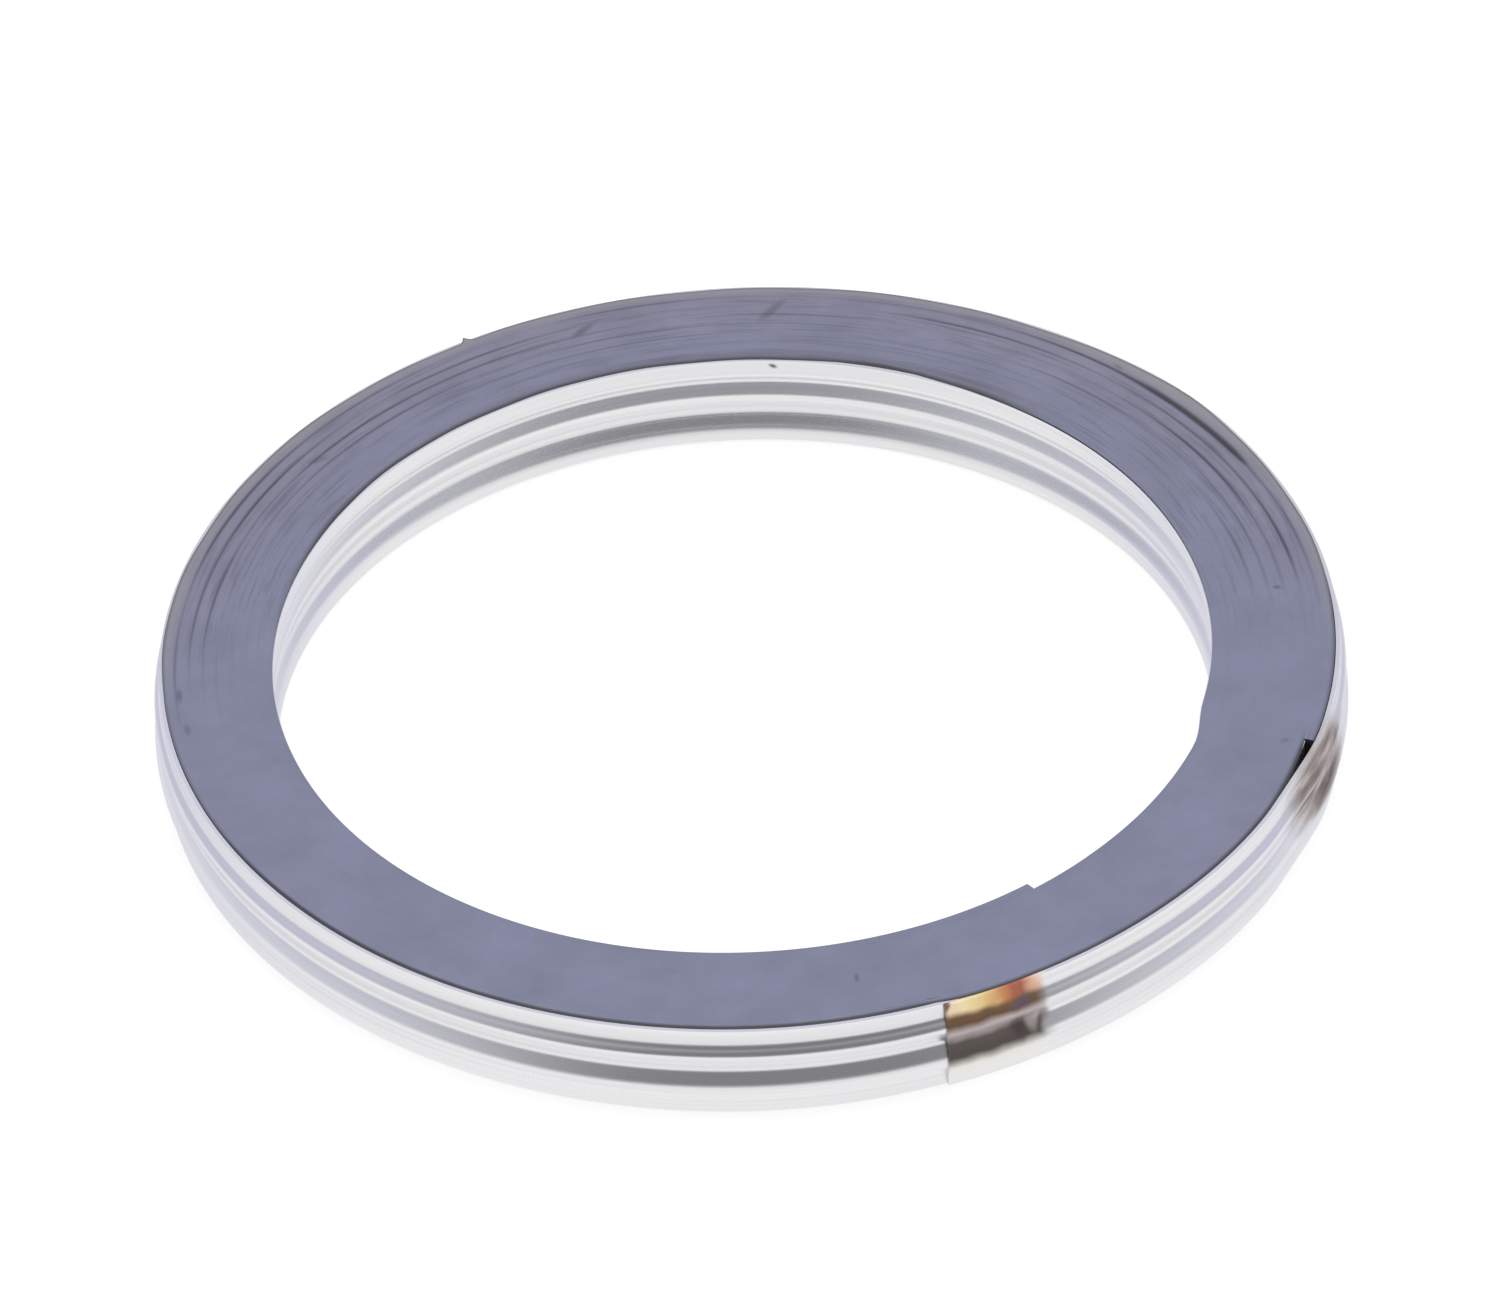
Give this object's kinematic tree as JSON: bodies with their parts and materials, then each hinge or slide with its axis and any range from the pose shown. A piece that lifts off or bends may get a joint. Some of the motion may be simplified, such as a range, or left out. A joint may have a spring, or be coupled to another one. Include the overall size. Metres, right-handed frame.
{
  "type": "exhaust gasket",
  "caption": "Flat spiral-wound ring gasket for an exhaust flange: a W-section stainless strip wound with graphite that makes both sealing faces, its tail spot welded.",
  "frame": {"origin": "on the ring's axis, on the lower sealing face", "axes": "+Z along the ring's axis, towards the upper sealing face; +X through the middle of the joggle where each turn climbs to the next"},
  "size_m": [0.0614, 0.0612, 0.0054],
  "materials": {
    "stainless_steel": "bright rolled strip, heat tinted at the two spot welds",
    "graphite": "pressed graphite, satin, blue grey"
  },
  "bodies": {
    "root": {"steel_strip": "stainless_steel", "graphite_filler": "graphite"}
  },
  "joints": []
}
